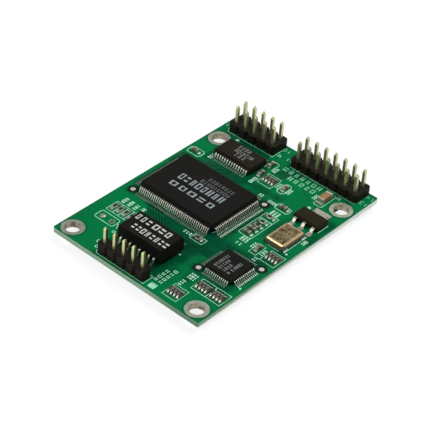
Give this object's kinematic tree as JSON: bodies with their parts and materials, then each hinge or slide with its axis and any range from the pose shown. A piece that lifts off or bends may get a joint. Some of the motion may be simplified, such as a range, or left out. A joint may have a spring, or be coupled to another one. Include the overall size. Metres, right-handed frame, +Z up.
{
  "type": "embedded network server module",
  "caption": "Small four-hole circuit board with gull-wing chips, a network transformer, an oscillator, chip parts and three square-pin headers.",
  "frame": {"origin": "centre of the four mounting holes, on the underside of the board", "axes": "+X along the short edge, +Y along the long edge towards the two double headers, +Z up out of the component side"},
  "size_m": [0.0392, 0.055, 0.0089],
  "materials": {
    "board_laminate": "green solder mask on woven glass laminate, satin gloss",
    "hole_tin": "hot-levelled tin on copper, uneven satin",
    "lead_tin": "tin-plated leads, satin",
    "solder": "smooth reflowed solder, bright",
    "part_ends": "tinned ends, bright",
    "chip_epoxy": "black moulding compound, fine eroded texture",
    "transformer_case": "black moulded case, satin",
    "dark_ceramic": "dark fired ceramic, matt",
    "lid_metal": "gold-plated lid, satin",
    "brown_ceramic": "brown fired ceramic, semi-matt",
    "white_ceramic": "white alumina, matt",
    "cover_coat": "black cover coat, glossy",
    "header_plastic": "black moulded nylon, satin",
    "pin_gold": "pale gold flash on brass, smooth"
  },
  "bodies": {
    "root": {"board": "board_laminate", "hole_plating": "hole_tin", "alignment_targets": "hole_tin", "spare_pads": "hole_tin", "processor_body": "chip_epoxy", "processor_leads": "lead_tin", "processor_pads": "solder", "netchip_body": "chip_epoxy", "netchip_leads": "lead_tin", "netchip_pads": "solder", "driver_body": "chip_epoxy", "driver_leads": "lead_tin", "driver_pads": "solder", "transformer_body": "transformer_case", "transformer_leads": "lead_tin", "transformer_pads": "solder", "regulator_body": "chip_epoxy", "regulator_leads": "lead_tin", "regulator_pads": "solder", "oscillator_base": "dark_ceramic", "oscillator_lid": "lid_metal", "oscillator_contacts": "lid_metal", "reservoir_body": "brown_ceramic", "reservoir_ends": "part_ends", "array_bodies": "dark_ceramic", "array_coats": "cover_coat", "array_ends": "part_ends", "array_pads": "solder", "resistor_bodies": "white_ceramic", "resistor_coats": "cover_coat", "resistor_ends": "part_ends", "capacitor_bodies": "brown_ceramic", "capacitor_ends": "part_ends", "chip_pads": "solder", "left_header_housing": "header_plastic", "left_header_pins": "pin_gold", "right_header_housing": "header_plastic", "right_header_pins": "pin_gold", "network_header_housing": "header_plastic", "network_header_pins": "pin_gold", "header_solder": "solder"}
  },
  "joints": []
}
